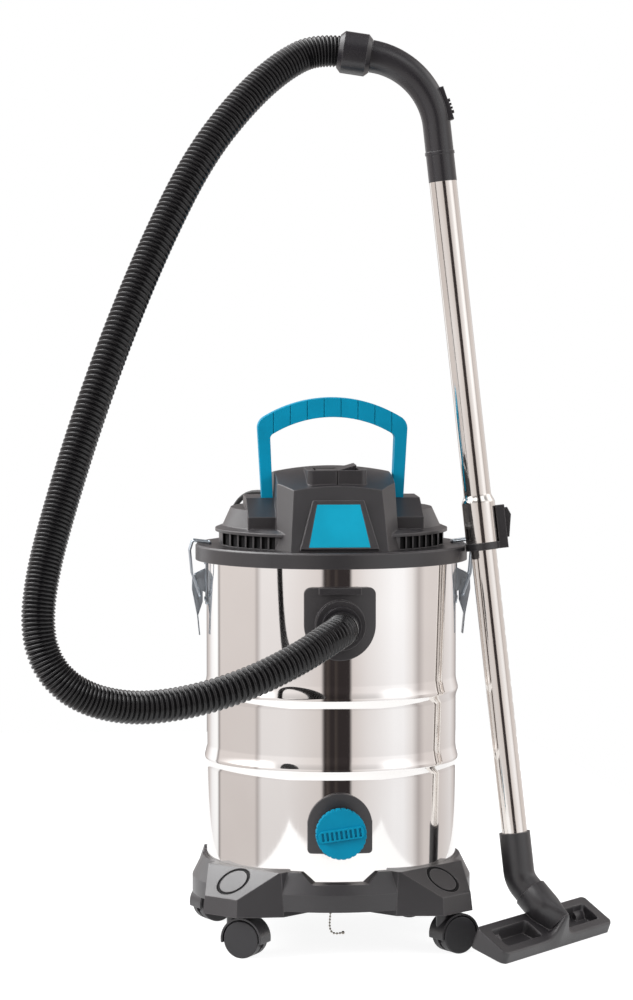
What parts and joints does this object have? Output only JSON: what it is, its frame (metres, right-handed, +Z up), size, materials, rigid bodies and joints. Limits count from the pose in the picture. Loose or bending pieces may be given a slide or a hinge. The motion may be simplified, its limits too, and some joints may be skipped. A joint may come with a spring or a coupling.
{
  "type": "shop vacuum",
  "caption": "Wet and dry shop vacuum: ribbed steel drum on a caster dolly, latched motor head with carry handle, hose, telescopic wand and floor nozzle.",
  "frame": {"origin": "on the floor under the drum's axis", "axes": "+Z up, -Y towards the front with the hose inlet, +X towards the side where the wand leans"},
  "size_m": [0.8029, 0.7762, 1.2331],
  "materials": {
    "polished_steel": "mirror-polished stainless steel",
    "charcoal_plastic": "fine-grained charcoal plastic",
    "teal_plastic": "satin teal plastic",
    "zinc_plate": "bright zinc-plated sheet and wire",
    "hose_black": "glossy ribbed hose",
    "wheel_black": "moulded wheel plastic",
    "black_rubber": "soft black rubber",
    "lead_black": "matt black cable sheath",
    "motor_metal": "bare sheet metal",
    "filter_paper": "pleated filter paper",
    "pale_plastic": "pale moulded plastic",
    "nickel_trim": "nickel-plated",
    "black_plastic": "black moulded plastic"
  },
  "bodies": {
    "cleaner": {"base": "charcoal_plastic", "base_screws": "nickel_trim", "earth_chain": "nickel_trim", "drum": "polished_steel", "lid": "charcoal_plastic", "lid_seal": "black_rubber", "motor_cover": "charcoal_plastic", "front_panel": "teal_plastic", "carry_handle": "teal_plastic", "fan_shroud": "motor_metal", "motor": "motor_metal", "filter_cage": "charcoal_plastic", "filter_cartridge": "filter_paper", "inlet_flange": "charcoal_plastic", "hose_connector": "black_plastic", "drain_flange": "charcoal_plastic", "drain_gasket": "black_rubber", "latch_bracket_left": "zinc_plate", "latch_bracket_right": "zinc_plate", "latch_rivets_left": "zinc_plate", "latch_rivets_right": "zinc_plate", "hose": "hose_black", "upper_tube": "polished_steel", "tube_sleeve": "charcoal_plastic", "grip": "charcoal_plastic", "cord_gland": "lead_black", "mains_lead": "lead_black", "mains_coil": "lead_black", "cord_tie": "lead_black", "mains_plug": "lead_black"},
    "caster_front_left": {"caster_housing_front_left": "charcoal_plastic"},
    "wheels_front_left": {"caster_wheels_front_left": "wheel_black"},
    "caster_front_right": {"caster_housing_front_right": "charcoal_plastic"},
    "wheels_front_right": {"caster_wheels_front_right": "wheel_black"},
    "caster_rear_left": {"caster_housing_rear_left": "charcoal_plastic"},
    "wheels_rear_left": {"caster_wheels_rear_left": "wheel_black"},
    "caster_rear_right": {"caster_housing_rear_right": "charcoal_plastic"},
    "wheels_rear_right": {"caster_wheels_rear_right": "wheel_black"},
    "power_rocker": {"rocker_switch": "black_plastic"},
    "latch_left": {"latch_lever_left": "zinc_plate"},
    "bail_left": {"latch_bail_left": "zinc_plate"},
    "latch_right": {"latch_lever_right": "zinc_plate"},
    "bail_right": {"latch_bail_right": "zinc_plate"},
    "drain_cap": {"drain_cap": "teal_plastic"},
    "fan": {"fan_rotor": "motor_metal"},
    "float": {"float_cup": "pale_plastic"},
    "lock_button": {"lock_button": "black_plastic"},
    "lower_wand": {"lower_tube": "polished_steel", "nozzle_elbow": "charcoal_plastic"},
    "nozzle": {"nozzle_body": "charcoal_plastic", "nozzle_lips": "black_rubber"},
    "nozzle_rollers": {"nozzle_rollers": "black_rubber"},
    "collar": {"hose_collar": "black_plastic"},
    "regulator": {"regulator_slider": "black_plastic"}
  },
  "joints": [
    {"name": "caster_swivel_front_left", "type": "hinge", "parent": "cleaner", "child": "caster_front_left", "pos_m": [-0.14, -0.14, 0.057], "axis": [0, 0, 1], "continuous": true},
    {"name": "wheel_spin_front_left", "type": "hinge", "parent": "caster_front_left", "child": "wheels_front_left", "pos_m": [-0.12396, -0.14817, 0.025], "axis": [-0.454, -0.891, 0], "continuous": true},
    {"name": "caster_swivel_front_right", "type": "hinge", "parent": "cleaner", "child": "caster_front_right", "pos_m": [0.14, -0.14, 0.057], "axis": [0, 0, 1], "continuous": true},
    {"name": "wheel_spin_front_right", "type": "hinge", "parent": "caster_front_right", "child": "wheels_front_right", "pos_m": [0.15604, -0.13183, 0.025], "axis": [0.454, -0.891, 0], "continuous": true},
    {"name": "caster_swivel_rear_left", "type": "hinge", "parent": "cleaner", "child": "caster_rear_left", "pos_m": [-0.14, 0.14, 0.057], "axis": [0, 0, 1], "continuous": true},
    {"name": "wheel_spin_rear_left", "type": "hinge", "parent": "caster_rear_left", "child": "wheels_rear_left", "pos_m": [-0.15644, 0.13268, 0.025], "axis": [-0.4067, 0.9135, 0], "continuous": true},
    {"name": "caster_swivel_rear_right", "type": "hinge", "parent": "cleaner", "child": "caster_rear_right", "pos_m": [0.14, 0.14, 0.057], "axis": [0, 0, 1], "continuous": true},
    {"name": "wheel_spin_rear_right", "type": "hinge", "parent": "caster_rear_right", "child": "wheels_rear_right", "pos_m": [0.12279, 0.14526, 0.025], "axis": [0.2924, 0.9563, 0], "continuous": true},
    {"name": "power_switch", "type": "hinge", "parent": "cleaner", "child": "power_rocker", "pos_m": [0, -0.084, 0.638], "axis": [0, 1, 0], "range_deg": [0, 16]},
    {"name": "latch_left_lever", "type": "hinge", "parent": "cleaner", "child": "latch_left", "pos_m": [-0.182, 0, 0.49], "axis": [0, 1, 0], "range_deg": [0, 140]},
    {"name": "latch_left_bail", "type": "hinge", "parent": "latch_left", "child": "bail_left", "pos_m": [-0.1795, 0, 0.4695], "axis": [0, 1, 0], "range_deg": [-168, 0]},
    {"name": "latch_right_lever", "type": "hinge", "parent": "cleaner", "child": "latch_right", "pos_m": [0.182, 0, 0.49], "axis": [0, -1, 0], "range_deg": [0, 140]},
    {"name": "latch_right_bail", "type": "hinge", "parent": "latch_right", "child": "bail_right", "pos_m": [0.1795, 0, 0.4695], "axis": [0, -1, 0], "range_deg": [-168, 0]},
    {"name": "drain_cap_turn", "type": "hinge", "parent": "cleaner", "child": "drain_cap", "pos_m": [0, -0.1993, 0.17], "axis": [0, -1, 0], "range_deg": [0, 90]},
    {"name": "fan_spin", "type": "hinge", "parent": "cleaner", "child": "fan", "pos_m": [0, 0, 0.5465], "axis": [0, 0, 1], "continuous": true},
    {"name": "float_lift", "type": "slide", "parent": "cleaner", "child": "float", "axis": [0, 0, 1], "range_m": [0, 0.03]},
    {"name": "lock_press", "type": "slide", "parent": "cleaner", "child": "lock_button", "axis": [-0.9921, 0.0596, -0.1103], "range_m": [0, 0.004], "stiffness_N_per_m": 900, "springref_m": -0.002},
    {"name": "wand_telescope", "type": "slide", "parent": "cleaner", "child": "lower_wand", "axis": [-0.1075, 0.048, 0.993], "range_m": [0, 0.25]},
    {"name": "nozzle_swivel", "type": "hinge", "parent": "lower_wand", "child": "nozzle", "pos_m": [0.26374, -0.08599, 0.07203], "axis": [-0.5793, 0.4365, 0.6884], "range_deg": [-20, 45]},
    {"name": "roller_spin", "type": "hinge", "parent": "nozzle", "child": "nozzle_rollers", "pos_m": [0.26753, -0.08884, 0.02069], "axis": [0.6018, 0.7986, 0], "continuous": true},
    {"name": "hose_collar_swivel", "type": "hinge", "parent": "cleaner", "child": "collar", "pos_m": [0.05248, -0.01759, 1.19917], "axis": [-0.9861, 0.07, 0.1505], "continuous": true},
    {"name": "regulator_slide", "type": "slide", "parent": "cleaner", "child": "regulator", "axis": [-0.3205, 0.0598, 0.9454], "range_m": [0, 0.01]}
  ],
  "couplings": [
    {"joint": "latch_left_bail", "follows": "latch_left_lever", "ratio": -1.2},
    {"joint": "latch_right_bail", "follows": "latch_right_lever", "ratio": -1.2}
  ]
}
